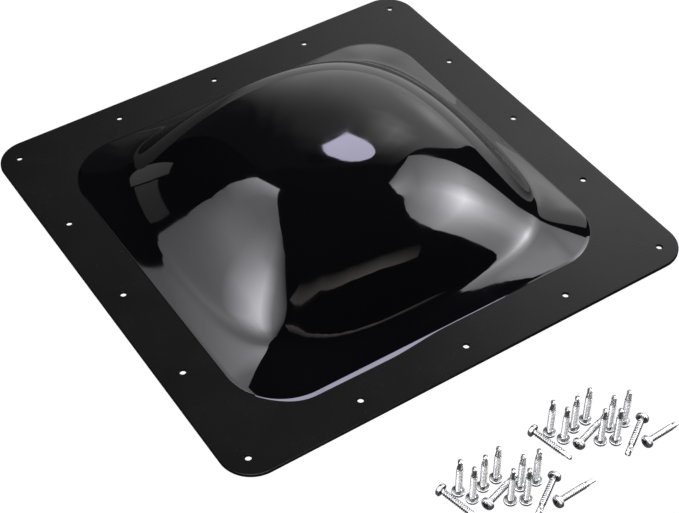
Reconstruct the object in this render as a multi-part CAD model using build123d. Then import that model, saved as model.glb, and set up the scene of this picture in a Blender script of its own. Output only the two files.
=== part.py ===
from build123d import *
import math
import os

# Roof vent cover: one moulded sheet with a flat square flange and a blown dome,
# and the loose self-drilling screws that come with it, lying and standing beside it.
# All sizes are in millimetres. The flange's underside is at z = 0 and +Z is up.

# Moulded cover
FLANGE_SIZE = 470.0
FLANGE_CORNER_R = 30.0
FLANGE_EDGE_R = 0.8
SHEET = 3.0
HOLE_PITCH = 107.0
HOLES_PER_SIDE = 5
HOLE_R = 2.9

# Dome: its outline on the flange, the blown crown and its wall,
# and the low skirt that joins the wall to the outline
BASE_HALF = 186.0
BASE_CORNER_R = 55.0
DOME_RISE = 90.5
FOOT_HALF = 170.0
FULLNESS = 1.69
SQUARENESS = 0.865
SKIRT_RISE = 18.0
SKIRT_SLOPE = 0.55
SKIRT_CORNER_LOSS = 0.22
SKIRT_BLEND = 5.0

# Grid of the dome's spline faces
GRID_HALF = 192.0
GRID_COUNT = 65
GRID_CROWDING = 1.2
CAVITY_INSET = 1.2

# Self-drilling pan-head screw
SCREW_LENGTH = 42.0
HEAD_R = 5.45
HEAD_HEIGHT = 4.0
HEAD_FLAT_R = 3.3
HEAD_RIM_Z = 2.3
CORE_R = 2.05
CREST_R = 2.75
THREAD_PITCH = 1.8
THREAD_START = 4.8
THREAD_TURNS = 15
DRILL_R = 2.35
DRILL_START = 32.5
DRILL_TIP_HEIGHT = 1.4
FLUTE_R = 1.3
FLUTE_OFFSET = 2.5
FLUTE_START = 34.0
RECESS_SPAN = 6.2
RECESS_WIDTH = 1.6
RECESS_DEPTH = 2.4
RECESS_TAPER = 8.0

# Where the screws are: two equal groups, the second shifted from the first.
# Standing screws: x, y and the turn of the drill flute.
STANDING = [
    (1.0, -325.5, 222.0),
    (6.0, -337.0, 230.0),
    (19.5, -332.5, 214.0),
    (33.0, -331.5, 226.0),
    (29.5, -354.5, 219.0),
    (44.0, -348.0, 233.0),
    (40.0, -361.0, 217.0),
    (57.5, -350.5, 224.0),
]
# Lying screws: x and y of the drive face, heading of the point, roll about their own axis.
LYING = [
    (-11.5, -316.0, 285.0, 20.0),
    (9.0, -350.0, 18.0, 35.0),
    (73.0, -355.5, 212.0, 60.0),
    (55.5, -377.6, 4.0, 10.0),
]
GROUP_SHIFTS = [(0.0, 0.0), (-95.4, -6.8)]


def edge_distance(x, y):
    """How far the point x, y is inside the dome's rounded-square outline."""
    flat = BASE_HALF - BASE_CORNER_R
    over_x = abs(x) - flat
    over_y = abs(y) - flat
    corner = math.hypot(max(over_x, 0.0), max(over_y, 0.0))
    return BASE_CORNER_R - corner - min(max(over_x, over_y), 0.0)


def dome_height(x, y):
    """Top of the sheet over the point x, y, from the flange up to the crown."""
    u = (x / FOOT_HALF) ** 2
    v = (y / FOOT_HALF) ** 2
    level = 1.0 - u - v + SQUARENESS * u * v
    wall = DOME_RISE * (1.0 - max(1.0 - level, 0.0) ** FULLNESS)
    diagonal = 2 * x * y / (x * x + y * y + 1.0)
    slope = SKIRT_SLOPE - SKIRT_CORNER_LOSS * diagonal ** 2
    skirt = SKIRT_RISE * math.tanh(edge_distance(x, y) * slope / SKIRT_RISE)
    blended = (wall + skirt + math.hypot(wall - skirt, SKIRT_BLEND)) / 2
    return SHEET + blended


def skin_point(x, y, depth):
    """Point of the dome's skin over x, y, moved inwards by depth along the normal."""
    step = 0.01
    slope_x = (dome_height(x + step, y) - dome_height(x - step, y)) / (2 * step)
    slope_y = (dome_height(x, y + step) - dome_height(x, y - step)) / (2 * step)
    normal = Vector(-slope_x, -slope_y, 1.0).normalized()
    return Vector(x, y, dome_height(x, y)) - normal * depth


def grid_line():
    """Grid positions from one side to the other, closer together near the dome's foot."""
    half = (GRID_COUNT - 1) / 2
    spread = math.sin(GRID_CROWDING)
    return [
        GRID_HALF * math.sin(GRID_CROWDING * (i - half) / half) / spread
        for i in range(GRID_COUNT)
    ]


def skin_face(depth):
    """Spline face of the dome's skin at a depth below the outer surface."""
    line = grid_line()
    points = [[skin_point(x, y, depth) for y in line] for x in line]
    return Face.make_surface_from_array_of_points(points, tol=0.05, min_deg=3, max_deg=3)


def block_under_skin(depth, inset, bottom):
    """Solid below the skin, inside the dome's outline moved in by inset."""
    size = 2 * (BASE_HALF - inset)
    outline = RectangleRounded(size, size, BASE_CORNER_R - inset)
    column = extrude(Pos(0, 0, bottom) * outline, amount=150.0 - bottom)
    below = extrude(skin_face(depth), amount=200.0, dir=(0, 0, -1))
    return column & below


def hole_centres():
    """Screw hole centres: an even row along each side, corners shared."""
    half = HOLE_PITCH * (HOLES_PER_SIDE - 1) / 2
    steps = [i * HOLE_PITCH - half for i in range(HOLES_PER_SIDE)]
    return [
        (x, y)
        for x in steps
        for y in steps
        if max(abs(x), abs(y)) > half - 1.0
    ]


def make_cover():
    """The whole moulded sheet with its screw holes."""
    outline = RectangleRounded(FLANGE_SIZE, FLANGE_SIZE, FLANGE_CORNER_R)
    plate = extrude(outline, amount=SHEET)
    plate = fillet(plate.edges().group_by(Axis.Z)[-1], FLANGE_EDGE_R)
    cover = plate + block_under_skin(0.0, 0.0, SHEET / 2)
    cover = cover - block_under_skin(SHEET, CAVITY_INSET, -10.0)
    drills = [Pos(x, y, SHEET / 2) * Cylinder(HOLE_R, 3 * SHEET) for x, y in hole_centres()]
    return cover - drills


def screw_profile():
    """Half section of the screw in the XZ plane, drive face at z = 0, point at the top."""
    points = [(HEAD_R, HEAD_RIM_Z), (HEAD_R, HEAD_HEIGHT), (CORE_R, HEAD_HEIGHT)]
    for turn in range(THREAD_TURNS):
        z = THREAD_START + turn * THREAD_PITCH
        points.append((CORE_R, z))
        points.append((CREST_R, z + 0.75))
        points.append((CREST_R, z + 0.95))
        points.append((CORE_R, z + 1.7))
    points.append((CORE_R, DRILL_START - 0.3))
    points.append((DRILL_R, DRILL_START))
    points.append((DRILL_R, SCREW_LENGTH - DRILL_TIP_HEIGHT))
    points.append((0.0, SCREW_LENGTH))
    points.append((0.0, 0.0))
    points.append((HEAD_FLAT_R, 0.0))
    flanks = Polyline(*[(r, 0.0, z) for r, z in points])
    shoulder = ThreePointArc(
        (HEAD_FLAT_R, 0.0, 0.0),
        (HEAD_R - 0.65, 0.0, 0.75),
        (HEAD_R, 0.0, HEAD_RIM_Z),
    )
    return make_face([flanks, shoulder])


def make_screw():
    """One screw standing on its drive face at the origin, point upwards."""
    body = revolve(screw_profile(), Axis.Z)
    cross = Rectangle(RECESS_SPAN, RECESS_WIDTH) + Rectangle(RECESS_WIDTH, RECESS_SPAN)
    recess = extrude(cross, amount=RECESS_DEPTH, taper=RECESS_TAPER)
    flute_length = SCREW_LENGTH - FLUTE_START + 2.0
    flute = Cylinder(FLUTE_R, flute_length)
    flute_z = FLUTE_START + flute_length / 2
    flutes = [Pos(side * FLUTE_OFFSET, 0, flute_z) * flute for side in (-1, 1)]
    return body - recess - flutes


def lay_down(screw, x, y, heading, roll):
    """The screw lying so that its head's rim and its point touch z = 0."""
    drop = HEAD_R - DRILL_R
    run = SCREW_LENGTH - DRILL_TIP_HEIGHT - HEAD_HEIGHT
    dip = math.degrees(math.atan2(drop, run))
    turned = Rot(0, 0, heading) * Rot(0, 90 + dip, 0) * Rot(0, 0, roll) * screw
    return Pos(x, y, -turned.bounding_box().min.Z) * turned


os.makedirs("parts", exist_ok=True)
cover = make_cover()
export_step(cover, "parts/dome_shell.step")
print("dome_shell", cover.is_valid, len(cover.solids()), cover.volume, cover.bounding_box())

screw = make_screw()
print("screw", screw.is_valid, len(screw.solids()), screw.volume)
number = 0
for shift_x, shift_y in GROUP_SHIFTS:
    placed = [Pos(x, y, 0) * Rot(0, 0, turn) * screw for x, y, turn in STANDING]
    placed += [lay_down(screw, *pose) for pose in LYING]
    for one in placed:
        number += 1
        loose = Pos(shift_x, shift_y, 0) * one
        export_step(loose, f"parts/screw_{number:02d}.step")
print("screws", number)
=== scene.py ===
import math

import bmesh
import bpy
from mathutils import Matrix, Vector


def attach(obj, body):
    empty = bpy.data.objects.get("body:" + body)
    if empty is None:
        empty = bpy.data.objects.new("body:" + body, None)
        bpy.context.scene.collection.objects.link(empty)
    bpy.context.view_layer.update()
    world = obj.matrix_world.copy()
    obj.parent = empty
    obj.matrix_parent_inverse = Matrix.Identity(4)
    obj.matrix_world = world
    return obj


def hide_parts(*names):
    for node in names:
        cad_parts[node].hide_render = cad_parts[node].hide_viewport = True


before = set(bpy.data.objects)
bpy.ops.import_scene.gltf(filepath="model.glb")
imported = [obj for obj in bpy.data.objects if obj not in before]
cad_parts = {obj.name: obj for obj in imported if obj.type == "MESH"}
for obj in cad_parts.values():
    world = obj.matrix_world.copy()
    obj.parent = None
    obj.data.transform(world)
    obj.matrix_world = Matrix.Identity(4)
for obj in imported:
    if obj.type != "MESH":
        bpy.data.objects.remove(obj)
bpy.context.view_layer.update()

scene = bpy.context.scene
MM = 0.001

# ---------------------------------------------------------------- sizes (mm)
FLANGE_HALF = 235.0
FLANGE_CORNER_R = 30.0
SHEET = 3.0
HOLE_PITCH = 107.0
HOLE_R = 2.9
BASE_HALF = 186.0
BASE_CORNER_R = 55.0
DOME_RISE = 90.5
FOOT_HALF = 170.0
FULLNESS = 1.69
SQUARENESS = 0.865
SKIRT_RISE = 18.0
SKIRT_SLOPE = 0.55
SKIRT_CORNER_LOSS = 0.22
SKIRT_BLEND = 5.0
BAND_MIN = 0.7
BAND_EXTRA = 4.2

SCREW_LENGTH = 42.0
HEAD_R = 5.45
HEAD_HEIGHT = 4.0
CORE_R = 2.05
CREST_R = 2.75
THREAD_PITCH = 1.8
THREAD_START = 4.8
THREAD_TURNS = 15
DRILL_R = 2.35
DRILL_START = 32.5
TIP_HEIGHT = 1.4

# x, y and turn of each standing screw; x, y, heading and roll of each lying one
STANDING = [
    (1.0, -325.5, 222.0), (6.0, -337.0, 230.0), (19.5, -332.5, 214.0), (33.0, -331.5, 226.0),
    (29.5, -354.5, 219.0), (44.0, -348.0, 233.0), (40.0, -361.0, 217.0), (57.5, -350.5, 224.0),
]
LYING = [
    (-11.5, -316.0, 285.0, 20.0), (9.0, -350.0, 18.0, 35.0),
    (73.0, -355.5, 212.0, 60.0), (55.5, -377.6, 4.0, 10.0),
]
GROUP_SHIFTS = [(0.0, 0.0), (-95.4, -6.8)]


# ---------------------------------------------------------------- camera
def make_camera():
    data = bpy.data.cameras.new("camera")
    data.sensor_width = 36.0
    data.lens = 83.40
    data.clip_start = 0.05
    data.clip_end = 50.0
    cam = bpy.data.objects.new("camera", data)
    scene.collection.objects.link(cam)
    right = Vector((0.83847, -0.54485, -0.01018)).normalized()
    back = -Vector((0.37750, 0.59420, -0.71022)).normalized()
    up = back.cross(right).normalized()
    right = up.cross(back)
    turn = Matrix((right, up, back)).transposed().to_4x4()
    cam.matrix_world = Matrix.Translation((-0.56163, -0.90048, 1.00044)) @ turn
    scene.camera = cam


make_camera()


# ---------------------------------------------------------------- helpers
def finish_mesh(bm, name, smooth=True, outward=True):
    if outward:
        bmesh.ops.recalc_face_normals(bm, faces=bm.faces)
    mesh = bpy.data.meshes.new(name)
    bm.to_mesh(mesh)
    bm.free()
    for poly in mesh.polygons:
        poly.use_smooth = smooth
    return mesh


def add_object(mesh, name):
    obj = bpy.data.objects.new(name, mesh)
    scene.collection.objects.link(obj)
    return obj


def smoothstep(t):
    t = min(max(t, 0.0), 1.0)
    return t * t * (3 - 2 * t)


# ---------------------------------------------------------------- the moulded sheet
def edge_distance(x, y):
    flat = BASE_HALF - BASE_CORNER_R
    ox, oy = abs(x) - flat, abs(y) - flat
    return BASE_CORNER_R - math.hypot(max(ox, 0.0), max(oy, 0.0)) - min(max(ox, oy), 0.0)


def dome_height(x, y):
    u = (x / FOOT_HALF) ** 2
    v = (y / FOOT_HALF) ** 2
    level = 1.0 - u - v + SQUARENESS * u * v
    wall = DOME_RISE * (1.0 - max(1.0 - level, 0.0) ** FULLNESS)
    diagonal = 2 * x * y / (x * x + y * y + 1.0)
    slope = SKIRT_SLOPE - SKIRT_CORNER_LOSS * diagonal ** 2
    skirt = SKIRT_RISE * math.tanh(edge_distance(x, y) * slope / SKIRT_RISE)
    return SHEET + (wall + skirt + math.hypot(wall - skirt, SKIRT_BLEND)) / 2


def dome_normal(x, y):
    step = 0.05
    sx = (dome_height(x + step, y) - dome_height(x - step, y)) / (2 * step)
    sy = (dome_height(x, y + step) - dome_height(x, y - step)) / (2 * step)
    return Vector((-sx, -sy, 1.0)).normalized()


def rounded_square_reach(dx, dy, half, radius):
    """Distance from the centre to a rounded square's edge in the direction dx, dy."""
    dx, dy = abs(dx), abs(dy)
    flat = half - radius
    reach = half / max(dx, dy)
    if min(dx, dy) * reach <= flat:
        return reach
    b = flat * (dx + dy)
    return b + math.sqrt(max(b * b - 2 * flat * flat + radius * radius, 0.0))


def rounded_square(half, radius, side_steps, corner_steps):
    """Outline points of a rounded square, counter-clockwise."""
    points = []
    flat = half - radius
    for quarter in range(4):
        turn = quarter * math.pi / 2
        c, s = math.cos(turn), math.sin(turn)
        local = [(half, -flat + 2 * flat * i / side_steps) for i in range(side_steps)]
        for i in range(corner_steps):
            a = math.pi / 2 * i / corner_steps
            local.append((flat + radius * math.cos(a), flat + radius * math.sin(a)))
        points += [(c * x - s * y, s * x + c * y) for x, y in local]
    return points


def loop_of(bm, points, z):
    return [bm.verts.new((x * MM, y * MM, z * MM)) for x, y in points]


def bridge(bm, lower, upper):
    n = len(lower)
    for i in range(n):
        j = (i + 1) % n
        bm.faces.new((lower[i], lower[j], upper[j], upper[i]))


def fill_between(bm, loops):
    """Flat face between an outer loop and the loops inside it."""
    edges = []
    for loop in loops:
        for i in range(len(loop)):
            a, b = loop[i], loop[(i + 1) % len(loop)]
            edges.append(bm.edges.get((a, b)) or bm.edges.new((a, b)))
    bmesh.ops.triangle_fill(bm, use_beauty=True, edges=edges, normal=(0, 0, 1))


def dome_grid(bm, count, depth, half, radius):
    """Grid over the dome, squares blended into the rounded outline; returns its border loop."""
    rows = []
    for i in range(count + 1):
        row = []
        for j in range(count + 1):
            s, t = 2 * i / count - 1, 2 * j / count - 1
            m = max(abs(s), abs(t))
            x, y = s * half, t * half
            if m > 0:
                size = math.hypot(s, t)
                reach = rounded_square_reach(s / size, t / size, half, radius)
                border = reach / (half * size / m)
                scale = 1 + (border - 1) * m ** 3
                x, y = x * scale, y * scale
            point = Vector((x, y, dome_height(x, y))) - dome_normal(x, y) * depth
            row.append(bm.verts.new(point * MM))
        rows.append(row)
    for i in range(count):
        for j in range(count):
            bm.faces.new((rows[i][j], rows[i + 1][j], rows[i + 1][j + 1], rows[i][j + 1]))
    border = [rows[i][0] for i in range(count)]
    border += [rows[count][j] for j in range(count)]
    border += [rows[count - i][count] for i in range(count)]
    border += [rows[0][count - j] for j in range(count)]
    return border


def hole_centres():
    half = HOLE_PITCH * 2
    steps = [i * HOLE_PITCH - half for i in range(5)]
    return [(x, y) for x in steps for y in steps if max(abs(x), abs(y)) > half - 1]


def loop_points(loop):
    return [(v.co.x / MM, v.co.y / MM) for v in loop]


def step_out(bm, border, grow, z):
    """Ring a little outside a border, flat at height z."""
    ring = []
    for x, y in loop_points(border):
        size = math.hypot(x, y)
        ring.append((x + grow * x / size, y + grow * y / size))
    loop = loop_of(bm, ring, z)
    bridge(bm, border, loop)
    return loop


def make_dome():
    """Dome part of the sheet; returns the object and its two border outlines."""
    bm = bmesh.new()
    count = 120
    top_border = dome_grid(bm, count, 0.0, BASE_HALF, BASE_CORNER_R)
    under_border = dome_grid(bm, count, SHEET, BASE_HALF, BASE_CORNER_R)
    top = step_out(bm, top_border, 0.35, SHEET)
    under = step_out(bm, under_border, 0.0, 0.0)
    bridge(bm, top, under)
    outlines = loop_points(top), loop_points(under)
    return add_object(finish_mesh(bm, "cover_dome"), "cover_dome"), outlines


def band_width(x, y):
    """Width of the polished band along the dome's foot; widest on the front left."""
    if y > -100:
        return BAND_MIN
    wide = smoothstep((x + 178) / 45) * smoothstep((-2 - x) / 60)
    return BAND_MIN + BAND_EXTRA * wide


def band_outline(outline):
    ring = []
    for x, y in outline:
        size = math.hypot(x, y)
        grow = band_width(x, y)
        ring.append((x + grow * x / size, y + grow * y / size))
    return ring


def make_band(outline):
    """Thin polished ring between the dome's foot and the satin flange."""
    bm = bmesh.new()
    outer = band_outline(outline)
    loops = [loop_of(bm, outline, SHEET), loop_of(bm, outer, SHEET),
             loop_of(bm, outer, SHEET - 0.6), loop_of(bm, outline, SHEET - 0.6)]
    for a, b in zip(loops, loops[1:] + loops[:1]):
        bridge(bm, a, b)
    return add_object(finish_mesh(bm, "cover_band", smooth=False), "cover_band")


def make_flange(outlines):
    """Flat flange around the dome, with its rounded edge and its screw holes."""
    bm = bmesh.new()
    under_inner = loop_of(bm, outlines[1], 0.0)
    top_inner = loop_of(bm, band_outline(outlines[0]), SHEET)
    bridge(bm, top_inner, under_inner)

    # rounded outer edge
    edge = [(0.9, SHEET), (0.42, SHEET - 0.12), (0.12, SHEET - 0.42), (0.0, SHEET - 0.9),
            (0.0, 0.5), (0.15, 0.15), (0.5, 0.0)]
    rings = []
    for inset, z in edge:
        outline = rounded_square(FLANGE_HALF - inset, FLANGE_CORNER_R - inset, 24, 14)
        rings.append(loop_of(bm, outline, z))
    for a, b in zip(rings, rings[1:]):
        bridge(bm, a, b)

    # screw holes with a slightly rounded mouth
    top_mouths, under_mouths = [], []
    for hx, hy in hole_centres():
        wall = [(0.30, SHEET), (0.09, SHEET - 0.09), (0.0, SHEET - 0.30), (0.0, 0.2), (0.2, 0.0)]
        hole = []
        for grow, z in wall:
            ring = []
            for i in range(28):
                a = 2 * math.pi * i / 28
                r = HOLE_R + grow
                ring.append((hx + r * math.cos(a), hy + r * math.sin(a)))
            hole.append(loop_of(bm, ring, z))
        for a, b in zip(hole, hole[1:]):
            bridge(bm, a, b)
        top_mouths.append(hole[0])
        under_mouths.append(hole[-1])
    fill_between(bm, [rings[0], top_inner] + top_mouths)
    fill_between(bm, [rings[-1], under_inner] + under_mouths)
    mesh = finish_mesh(bm, "cover_flange")
    for poly in mesh.polygons:
        poly.use_smooth = abs(poly.normal.z) < 0.9999
    return add_object(mesh, "cover_flange")


# ---------------------------------------------------------------- the screws
def turned_rings(bm, profile, segments):
    """Rings of a turned shape; a radius of 0 makes a single point."""
    rings = []
    for r, z in profile:
        if r == 0:
            rings.append([bm.verts.new((0, 0, z * MM))])
            continue
        ring = []
        for i in range(segments):
            a = 2 * math.pi * i / segments
            ring.append(bm.verts.new((r * MM * math.cos(a), r * MM * math.sin(a), z * MM)))
        rings.append(ring)
    for a, b in zip(rings, rings[1:]):
        if len(a) == 1 or len(b) == 1:
            point, ring = (a[0], b) if len(a) == 1 else (b[0], a)
            for i in range(segments):
                bm.faces.new((point, ring[i], ring[(i + 1) % segments]))
        else:
            bridge(bm, a, b)
    return rings


def thread_rows(bm, segments):
    """Helical thread; each turn starts where the one before it ends."""
    phases = [(0.0, 0.0), (0.16, 0.0), (0.42, 0.94), (0.50, 1.0), (0.58, 0.94), (0.84, 0.0)]
    low = THREAD_START
    high = DRILL_START - 0.2
    turns = int(math.ceil((high - low) / THREAD_PITCH)) + 2
    per = len(phases)
    rows = []
    for j in range(per * turns + 1):
        phase, height = phases[j % per]
        row = []
        for i in range(segments + 1):
            z = low - THREAD_PITCH + THREAD_PITCH * (j // per + phase + i / segments)
            fade = smoothstep((z - low) / (0.8 * THREAD_PITCH)) * smoothstep((high - z) / (1.2 * THREAD_PITCH))
            r = CORE_R + (CREST_R - CORE_R) * height * fade
            a = 2 * math.pi * i / segments
            z = min(max(z, low), high)
            row.append(bm.verts.new((r * MM * math.cos(a), r * MM * math.sin(a), z * MM)))
        rows.append(row)
    for lower, upper in zip(rows, rows[1:]):
        for i in range(segments):
            bm.faces.new((lower[i], lower[i + 1], upper[i + 1], upper[i]))


def drill_point(bm, segments):
    """Drill point with two twisted flutes and a chisel tip."""
    rows = []
    steps = 22
    start, end = DRILL_START - 0.2, SCREW_LENGTH
    for j in range(steps + 1):
        z = start + (end - start) * j / steps
        swell = smoothstep((z - start) / 0.5)
        radius = CORE_R + (DRILL_R - CORE_R) * swell
        over = z - (end - TIP_HEIGHT)
        if over > 0:
            radius *= max(1 - over / TIP_HEIGHT, 0.03)
        cut = smoothstep((z - start - 1.2) / 2.2)
        twist = 0.05 * (z - start)
        row = []
        for i in range(segments):
            a = 2 * math.pi * i / segments
            away = abs((a - twist) % math.pi - math.pi / 2)
            bite = smoothstep((0.72 - away) / 0.34)
            r = radius * (1 - 0.52 * cut * bite)
            row.append(bm.verts.new((r * MM * math.cos(a), r * MM * math.sin(a), z * MM)))
        rows.append(row)
    for a, b in zip(rows, rows[1:]):
        bridge(bm, a, b)
    tip = bm.verts.new((0, 0, end * MM))
    for i in range(segments):
        bm.faces.new((rows[-1][i], rows[-1][(i + 1) % segments], tip))


def cross_cutter():
    """Tapered cross that cuts the drive recess, from z = -1 to its floor."""
    bm = bmesh.new()
    levels = [(-1.0, 3.55, 0.98), (0.0, 3.15, 0.80), (2.0, 2.0, 0.55), (2.9, 0.9, 0.3)]
    loops = []
    for z, span, wide in levels:
        corners = [(span, -wide * 0.8), (span, wide * 0.8), (wide * 1.25, wide * 1.25)]
        ring = []
        for k in range(4):
            c, s = round(math.cos(k * math.pi / 2)), round(math.sin(k * math.pi / 2))
            ring += [(c * x - s * y, s * x + c * y) for x, y in corners]
        loops.append(loop_of(bm, ring, z))
    for a, b in zip(loops, loops[1:]):
        bridge(bm, a, b)
    bm.faces.new(loops[0])
    bm.faces.new(loops[-1])
    bmesh.ops.triangulate(bm, faces=[f for f in bm.faces if len(f.verts) > 4])
    return finish_mesh(bm, "cross_cutter", smooth=False)


def make_screw_mesh(materials):
    segments = 32
    bm = bmesh.new()
    head = [(0.0, 0.0), (1.2, 0.0), (2.4, 0.03), (3.3, 0.12), (4.1, 0.38), (4.7, 0.82), (5.1, 1.38),
            (5.35, 2.0), (5.43, 2.5), (5.45, 3.0), (5.45, 3.55), (5.40, 3.8), (5.22, 3.95), (4.9, 4.0),
            (2.5, 4.0), (2.2, 4.08), (2.08, 4.3), (CORE_R, THREAD_START)]
    turned_rings(bm, head, segments)
    thread_rows(bm, segments)
    drill_point(bm, segments)
    bmesh.ops.remove_doubles(bm, verts=bm.verts, dist=2e-6)
    bmesh.ops.dissolve_degenerate(bm, edges=bm.edges, dist=1e-6)
    body = add_object(finish_mesh(bm, "screw_body"), "screw_body")
    cutter = add_object(cross_cutter(), "cross_cutter")
    cut = body.modifiers.new("recess", "BOOLEAN")
    cut.object = cutter
    cut.operation = "DIFFERENCE"
    cut.solver = "EXACT"
    bpy.context.view_layer.update()
    graph = bpy.context.evaluated_depsgraph_get()
    mesh = bpy.data.meshes.new_from_object(body.evaluated_get(graph))
    mesh.name = "screw"
    bpy.data.objects.remove(body)
    bpy.data.objects.remove(cutter)
    mesh.materials.clear()
    for material in materials:
        mesh.materials.append(material)
    for poly in mesh.polygons:
        poly.use_smooth = True
        x, y, z = poly.center / MM
        # Faces inside the drive recess get material 1, the painted recess shade.
        poly.material_index = 1 if math.hypot(x, y) < 3.5 and 0.16 < z < 3.0 else 0
    mesh.set_sharp_from_angle(angle=math.radians(40))
    return mesh


def rest_pose(x, y, heading, roll):
    """Place of a lying screw: its head's rim and the edge of its drill point touch the ground."""
    drop = HEAD_R - DRILL_R
    run = SCREW_LENGTH - TIP_HEIGHT - HEAD_HEIGHT
    dip = math.atan2(drop, run)
    height = HEAD_R * math.cos(dip) + HEAD_HEIGHT * math.sin(dip)
    turn = Matrix.Rotation(math.radians(heading), 4, "Z") @ Matrix.Rotation(math.pi / 2 + dip, 4, "Y")
    turn = turn @ Matrix.Rotation(math.radians(roll), 4, "Z")
    return Matrix.Translation((x * MM, y * MM, height * MM)) @ turn


def screw_places():
    places = []
    for sx, sy in GROUP_SHIFTS:
        for x, y, turn in STANDING:
            spin = Matrix.Rotation(math.radians(turn), 4, "Z")
            places.append(Matrix.Translation(((x + sx) * MM, (y + sy) * MM, 0)) @ spin)
        for x, y, heading, roll in LYING:
            places.append(rest_pose(x + sx, y + sy, heading, roll))
    return places


# ---------------------------------------------------------------- materials
def new_material(name):
    mat = bpy.data.materials.new(name)
    mat.use_nodes = True
    nodes, links = mat.node_tree.nodes, mat.node_tree.links
    shader = nodes["Principled BSDF"]
    return mat, nodes, links, shader


def object_noise(nodes, links, scale, detail=3.0, stretch=(1, 1, 1)):
    """Noise over object coordinates; scale is in cells per metre."""
    where = nodes.new("ShaderNodeTexCoord")
    mapping = nodes.new("ShaderNodeMapping")
    mapping.inputs["Scale"].default_value = stretch
    links.new(where.outputs["Object"], mapping.inputs["Vector"])
    noise = nodes.new("ShaderNodeTexNoise")
    noise.inputs["Scale"].default_value = scale
    noise.inputs["Detail"].default_value = detail
    links.new(mapping.outputs["Vector"], noise.inputs["Vector"])
    return noise.outputs["Fac"]


def remap(nodes, links, value, low, high, to_low, to_high):
    node = nodes.new("ShaderNodeMapRange")
    node.inputs["From Min"].default_value = low
    node.inputs["From Max"].default_value = high
    node.inputs["To Min"].default_value = to_low
    node.inputs["To Max"].default_value = to_high
    links.new(value, node.inputs["Value"])
    return node.outputs["Result"]


def combine(nodes, links, operation, a, b):
    node = nodes.new("ShaderNodeMath")
    node.operation = operation
    node.use_clamp = operation == "ADD"
    links.new(a, node.inputs[0])
    links.new(b, node.inputs[1])
    return node.outputs["Value"]


def tint_between(nodes, links, factor, dark, light):
    node = nodes.new("ShaderNodeMix")
    node.data_type = "RGBA"
    node.inputs["A"].default_value = dark
    node.inputs["B"].default_value = light
    links.new(factor, node.inputs["Factor"])
    return node.outputs["Result"]


def add_bump(nodes, links, shader, layers):
    """Chain of bumps, each a height field with its own depth in metres."""
    last = None
    for height, depth in layers:
        bump = nodes.new("ShaderNodeBump")
        bump.inputs["Distance"].default_value = depth
        links.new(height, bump.inputs["Height"])
        if last is not None:
            links.new(last, bump.inputs["Normal"])
        last = bump.outputs["Normal"]
    links.new(last, shader.inputs["Normal"])


def pointiness_ramp(nodes, links, low, high):
    geometry = nodes.new("ShaderNodeNewGeometry")
    return remap(nodes, links, geometry.outputs["Pointiness"], low, high, 0.0, 1.0)


def gloss_plastic():
    """Polished black plastic: fine ripple, handling smears and a few hairline scratches."""
    mat, nodes, links, shader = new_material("black_gloss")
    shader.inputs["IOR"].default_value = 1.5
    tone = object_noise(nodes, links, 9.0)
    colour = tint_between(nodes, links, tone, (0.0022, 0.0022, 0.0026, 1), (0.0034, 0.0034, 0.0039, 1))
    links.new(colour, shader.inputs["Base Color"])
    smear = remap(nodes, links, object_noise(nodes, links, 26.0, 4.0), 0.35, 0.75, 0.015, 0.07)
    links.new(smear, shader.inputs["Roughness"])
    ripple = object_noise(nodes, links, 60.0, 1.0)
    scratch = object_noise(nodes, links, 700.0, 2.0, (1.0, 0.02, 1.0))
    scratch = remap(nodes, links, scratch, 0.72, 0.78, 0.0, 1.0)
    add_bump(nodes, links, shader, [(ripple, 0.00002), (scratch, 0.000001)])
    return mat


def satin_plastic():
    """The same plastic with a fine moulded grain, greyer along its rubbed edges."""
    mat, nodes, links, shader = new_material("black_satin")
    shader.inputs["IOR"].default_value = 1.5
    tone = object_noise(nodes, links, 14.0)
    edge_ramp = pointiness_ramp(nodes, links, 0.52, 0.62)
    dust = combine(nodes, links, "ADD", remap(nodes, links, tone, 0.3, 0.8, 0.0, 0.35), edge_ramp)
    colour = tint_between(nodes, links, dust, (0.014, 0.014, 0.015, 1), (0.024, 0.024, 0.025, 1))
    links.new(colour, shader.inputs["Base Color"])
    matt = remap(nodes, links, object_noise(nodes, links, 38.0, 4.0), 0.3, 0.7, 0.25, 0.28)
    links.new(matt, shader.inputs["Roughness"])
    grain = object_noise(nodes, links, 2600.0, 2.0)
    add_bump(nodes, links, shader, [(grain, 0.000007)])
    return mat


def zinc_material():
    """Bright zinc plate: brushed variation, painted shade darkening the thread roots, lighter crests."""
    mat, nodes, links, shader = new_material("bright_zinc")
    shader.inputs["Metallic"].default_value = 1.0
    # Pointiness ramp: painted shade makes the thread roots and hollows near-black, and the crests lighter.
    edge_ramp = pointiness_ramp(nodes, links, 0.46, 0.53)
    film = remap(nodes, links, object_noise(nodes, links, 420.0), 0.3, 0.7, -0.15, 0.15)
    bright = combine(nodes, links, "ADD", edge_ramp, film)
    colour = tint_between(nodes, links, bright, (0.07, 0.07, 0.075, 1), (0.86, 0.865, 0.87, 1))
    links.new(colour, shader.inputs["Base Color"])
    rough = remap(nodes, links, object_noise(nodes, links, 900.0, 4.0), 0.3, 0.7, 0.12, 0.24)
    links.new(rough, shader.inputs["Roughness"])
    brushed = object_noise(nodes, links, 3000.0, 2.0, (1.0, 1.0, 0.15))
    add_bump(nodes, links, shader, [(brushed, 0.00001)])
    return mat


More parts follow.
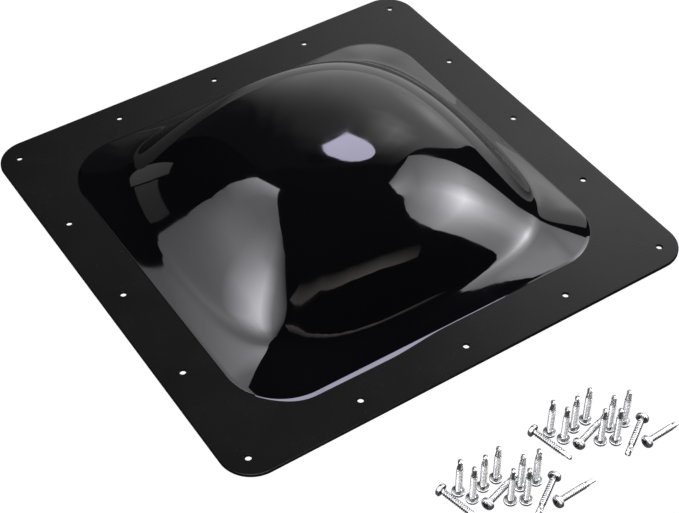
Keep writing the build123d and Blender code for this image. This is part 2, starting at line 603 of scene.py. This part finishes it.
def recess_shade_material():
    """Walls of the drive recess, painted near-black as the shade inside it."""
    mat, nodes, links, shader = new_material("painted_recess_shade")
    shader.inputs["Metallic"].default_value = 0.6
    tone = object_noise(nodes, links, 1500.0)
    # Near-black colour: painted shade for the inside of the drive recess.
    colour = tint_between(nodes, links, tone, (0.006, 0.006, 0.007, 1), (0.03, 0.03, 0.032, 1))
    links.new(colour, shader.inputs["Base Color"])
    rough = remap(nodes, links, tone, 0.3, 0.7, 0.45, 0.6)
    links.new(rough, shader.inputs["Roughness"])
    add_bump(nodes, links, shader, [(tone, 0.00002)])
    return mat


# ---------------------------------------------------------------- build
gloss = gloss_plastic()
satin = satin_plastic()
zinc = zinc_material()
recess = recess_shade_material()

dome, dome_outlines = make_dome()
dome.data.materials.append(gloss)
flange = make_flange(dome_outlines)
flange.data.materials.append(satin)
band = make_band(dome_outlines[0])
band.data.materials.append(gloss)
for piece in (dome, flange, band):
    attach(piece, "cover")
    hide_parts("dome_shell")

screw_mesh = make_screw_mesh((zinc, recess))
screws = []
for number, place in enumerate(screw_places(), start=1):
    name = f"screw_{number:02d}"
    placed = screw_mesh.copy()
    placed.transform(place)
    screw = add_object(placed, name + "_body")
    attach(screw, name)
    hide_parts(name)
    screws.append(screw)


# ---------------------------------------------------------------- studio
def toward(azimuth, elevation):
    """Unit vector; azimuth 0 is -Y, 90 is +X, in degrees."""
    a, e = math.radians(azimuth), math.radians(elevation)
    return Vector((math.sin(a) * math.cos(e), -math.cos(a) * math.cos(e), math.sin(e)))


def between(a, b, t):
    return tuple(p + (q - p) * t for p, q in zip(a, b))


def card_material(name, tint):
    mat = bpy.data.materials.new(name)
    mat.use_nodes = True
    nodes, links = mat.node_tree.nodes, mat.node_tree.links
    nodes.remove(nodes["Principled BSDF"])
    light = nodes.new("ShaderNodeEmission")
    light.inputs["Color"].default_value = tint
    level = nodes.new("ShaderNodeAttribute")
    level.attribute_name = "glow"
    links.new(level.outputs["Fac"], light.inputs["Strength"])
    links.new(light.outputs["Emission"], nodes["Material Output"].inputs["Surface"])
    return mat


def make_card(name, rows, distance, tint=(1, 1, 1, 1), steps=4, even=7.5):
    """Flat light card; each row holds (azimuth, elevation, brightness) seen from the part."""
    rows = [[tuple(point) + (even,) * (3 - len(point)) for point in row] for row in rows]
    fine = []
    for low_row, high_row in zip(rows, rows[1:]):
        for k in range(steps):
            fine.append([between(a, b, k / steps) for a, b in zip(low_row, high_row)])
    fine.append(rows[-1])
    fine = [[between(row[i], row[i + 1], k / steps) for i in range(len(row) - 1) for k in range(steps)] + [row[-1]]
            for row in fine]
    axis = sum((toward(a, e) for row in rows for a, e, b in row), Vector()).normalized()
    bm = bmesh.new()
    glow = bm.verts.layers.float.new("glow")
    grid = []
    for row in fine:
        line = []
        for azimuth, elevation, brightness in row:
            way = toward(azimuth, elevation)
            v = bm.verts.new(way * distance / way.dot(axis))
            v[glow] = brightness
            line.append(v)
        grid.append(line)
    for low_line, high_line in zip(grid, grid[1:]):
        for i in range(len(low_line) - 1):
            bm.faces.new((low_line[i], low_line[i + 1], high_line[i + 1], high_line[i]))
    card = add_object(finish_mesh(bm, name, smooth=False, outward=False), name)
    card.data.materials.append(card_material(name, tint))
    card.visible_camera = False
    return card


def make_tent(name, radius):
    """Pale tent around everything, with two darker gaps for contrast in bright metal."""
    bm = bmesh.new()
    glow = bm.verts.layers.float.new("glow")
    bmesh.ops.create_uvsphere(bm, u_segments=96, v_segments=48, radius=radius)
    for v in bm.verts:
        azimuth = math.degrees(math.atan2(v.co.x, -v.co.y))
        gap = max(smoothstep(1 - abs(azimuth - 20) / 26), smoothstep(1 - abs(azimuth + 100) / 34))
        v[glow] = 1.15 - 1.0 * gap
    tent = add_object(finish_mesh(bm, name, smooth=False, outward=False), name)
    tent.data.materials.append(card_material(name, (1, 1, 1, 1)))
    tent.visible_camera = False
    return tent


def make_floor():
    """White sweep; it looks evenly white and lights the part from below the horizon."""
    bm = bmesh.new()
    size = 6.0
    corners = [bm.verts.new((x * size, y * size, -0.0006)) for x, y in ((-1, -1), (1, -1), (1, 1), (-1, 1))]
    bm.faces.new(corners)
    floor = add_object(finish_mesh(bm, "floor", smooth=False), "floor")
    mat, nodes, links, shader = new_material("floor_paper")
    shader.inputs["Base Color"].default_value = (0.25, 0.25, 0.25, 1)
    shader.inputs["Roughness"].default_value = 0.9
    shader.inputs["Specular IOR Level"].default_value = 0.0
    shader.inputs["Emission Color"].default_value = (1, 1, 1, 1)
    where = nodes.new("ShaderNodeNewGeometry")
    flat = nodes.new("ShaderNodeVectorMath")
    flat.operation = "NORMALIZE"
    links.new(where.outputs["Position"], flat.inputs[0])
    side = nodes.new("ShaderNodeVectorMath")
    side.operation = "DOT_PRODUCT"
    side.inputs[1].default_value = toward(125, 0)
    links.new(flat.outputs["Vector"], side.inputs[0])
    spread = remap(nodes, links, side.outputs["Value"], 0.66, 0.95, 0.06, 0.6)
    path = nodes.new("ShaderNodeLightPath")
    strength = nodes.new("ShaderNodeMix")
    links.new(path.outputs["Is Camera Ray"], strength.inputs["Factor"])
    links.new(spread, strength.inputs["A"])
    strength.inputs["B"].default_value = 1.0
    links.new(strength.outputs["Result"], shader.inputs["Emission Strength"])
    floor.data.materials.append(mat)
    return floor


def wash(azimuth, elevation):
    """Brightness of the pale backdrop, strongest low on its right."""
    away = math.degrees(toward(azimuth, elevation).angle(toward(120, 9)))
    spot = math.degrees(toward(azimuth, elevation).angle(toward(121, 12)))
    high = math.degrees(toward(azimuth, elevation).angle(toward(131, 40)))
    level = 0.02 + 1.0 * smoothstep((47 - away) / 19) + 0.9 * smoothstep((12 - spot) / 12)
    return level + 1.1 * smoothstep((10 - high) / 10)


floor = make_floor()

backdrop_rows = []
for elevation in range(-1, 57, 4):
    edge = 113 - 5 * smoothstep(elevation / 20) + 8 * smoothstep((elevation - 26) / 22)
    row = [between((edge,), (184,), k / 12)[0] for k in range(13)]
    backdrop_rows.append([(a, elevation, wash(a, elevation)) for a in row])
make_card("backdrop", backdrop_rows, 8.0, steps=1)

left_box = make_card("left_box", [
    [(-135, 0, 0.9), (-128, 0, 1.2), (-116, 8, 1.7), (-104, 22, 5), (-94, 30, 11), (-80, 38, 4), (-58, 47, 1)],
    [(-135, 12, 1.1), (-127, 14, 1.6), (-116, 20, 2.4), (-103, 31, 8), (-92, 37, 13), (-78, 43, 4), (-60, 50, 0.8)],
    [(-139, 29, 1.2), (-128, 30, 2.4), (-114, 34, 3.5), (-102, 40, 6), (-91, 43, 10), (-78, 48, 3), (-65, 51.5, 0.6)],
    [(-145, 38, 1.4), (-133, 42, 2.3), (-116, 46, 3), (-104, 49, 4.2), (-92, 51, 4.5), (-82, 54, 2), (-73, 55.5, 0.6)],
    [(-156, 48, 3), (-140, 52, 2.2), (-122, 56, 2.3), (-109, 58, 2.8), (-98, 60, 2.6), (-90, 61, 1.6), (-82, 60.5, 0.7)],
    [(-167, 54, 5), (-149, 59, 2.4), (-134, 61, 2.2), (-119, 62.5, 2.2), (-107, 63, 2.2), (-98, 63, 1.5), (-89, 62, 0.8)],
    [(-170, 64, 6), (-152, 66, 2.4), (-138, 67, 2), (-124, 67, 2), (-111, 66, 2), (-102, 65, 1.5), (-94, 63.6, 0.8)],
], 7.0, (1, 0.985, 1.05, 1))

right_box = make_card("right_box", [
    [(45, 18, 3), (55, 18, 2.6), (65, 16, 2.6), (75, 14, 2.2), (84, 11.5, 1.9), (90, 11, 1.7)],
    [(44, 26, 4), (53, 26, 5.5), (63, 25, 8), (71, 24, 7.5), (81, 23, 4.5), (94, 18, 2.4)],
    [(42, 35, 5), (52, 34, 8), (62, 33, 13), (70, 32, 17), (82, 32, 6.5), (97, 26, 3)],
    [(43, 43, 4), (53, 43, 5), (63, 43, 6.5), (73, 43, 7.5), (84, 43, 5), (103, 37, 2.4)],
    [(46, 49, 3.5), (56, 50, 3.8), (66, 51, 4.5), (77, 52, 4.2), (90, 52, 3), (115, 47.5, 1.8)],
    [(52, 53.5, 3), (60, 54.5, 3.2), (67, 55, 3.4), (76, 56.5, 4), (89, 57, 4), (109, 55.5, 2)],
    [(60, 56.5, 2.4), (65, 57.2, 2.6), (70, 58.2, 3), (77, 61, 5), (89, 62.3, 5), (99, 62.3, 2)],
], 7.0, (1, 0.99, 1.04, 1))

front_room = make_card("front_room", [
    [(-58, 51.5, 0.9), (-20, 50.5, 0.9), (3, 42.5, 1.1), (16, 35.8, 1.2), (23, 31, 0.9), (28, 28.5, 0.5)],
    [(-52, 53.5, 0.5), (-20, 53, 0.5), (3, 46, 0.6), (18, 39, 0.6), (26, 34, 0.4), (31, 31, 0.2)],
    [(-48, 56, 0), (-20, 56, 0), (3, 49.5, 0), (20, 42, 0), (28, 37, 0), (33, 34, 0)],
], 7.5, (1, 0.9, 0.84, 1))

make_card("far_window", [
    [(-155, -0.5, 0.35), (-167, -0.5, 0.35)],
    [(-155, 9.5, 0.35), (-161, 10, 0.4)],
], 7.5)
make_card("far_wall", [
    [(-137, -0.5, 0.2), (-154, -0.5, 0.24)],
    [(-138, 6, 0.2), (-154, 6, 0.24)],
], 7.6)


lamp = make_card("lamp", [
    [(147.6, 42.9), (146.2, 41.9), (142.5, 43.6), (138.5, 45.8), (135.6, 47.9)],
    [(148.8, 44.2), (146.4, 43.8), (142.4, 45.2), (138.2, 47.2), (134.5, 49.0)],
    [(148.8, 46.2), (146.2, 46.8), (142.0, 48.2), (138.0, 49.6), (133.9, 50.4)],
    [(148.0, 48.2), (145.4, 49.6), (141.7, 51.0), (138.0, 51.7), (134.2, 51.6)],
    [(146.4, 49.4), (144.4, 51.0), (141.4, 52.3), (138.0, 52.7), (135.4, 52.1)],
], 6.5, (1.0, 0.95, 1.26, 1), steps=2)
strip = make_card("low_strip", [
    [(153.5, 48.4), (143.0, 45.8)],
    [(153.5, 53.2), (143.0, 50.6)],
], 6.7, (1.0, 0.95, 1.26, 1))


def light_only(card, receivers):
    """Keep one card's light on chosen pieces, as a flag in front of it would."""
    group = bpy.data.collections.new(card.name + "_receivers")
    for piece in receivers:
        group.objects.link(piece)
    card.light_linking.receiver_collection = group


top_fill = make_card("top_fill", [
    [(-135, 70, 4), (-45, 70, 4)],
    [(135, 70, 4), (45, 70, 4)],
], 12.0, steps=1)
light_only(lamp, [dome, band])
light_only(top_fill, [flange] + screws)
for card in (left_box, right_box, front_room):
    light_only(card, [dome, band] + screws)
light_only(strip, [band])
light_only(make_tent("tent", 20.0), screws)

world = bpy.data.worlds.new("studio")
world.use_nodes = True
air = world.node_tree.nodes
sky = air["Background"]
sky.inputs["Color"].default_value = (1, 1, 1, 1)
seen = air.new("ShaderNodeLightPath")
level = air.new("ShaderNodeMapRange")
level.inputs["To Min"].default_value = 0.01
world.node_tree.links.new(seen.outputs["Is Camera Ray"], level.inputs["Value"])
world.node_tree.links.new(level.outputs["Result"], sky.inputs["Strength"])
scene.world = world
scene.view_settings.view_transform = "Standard"

bpy.context.view_layer.update()
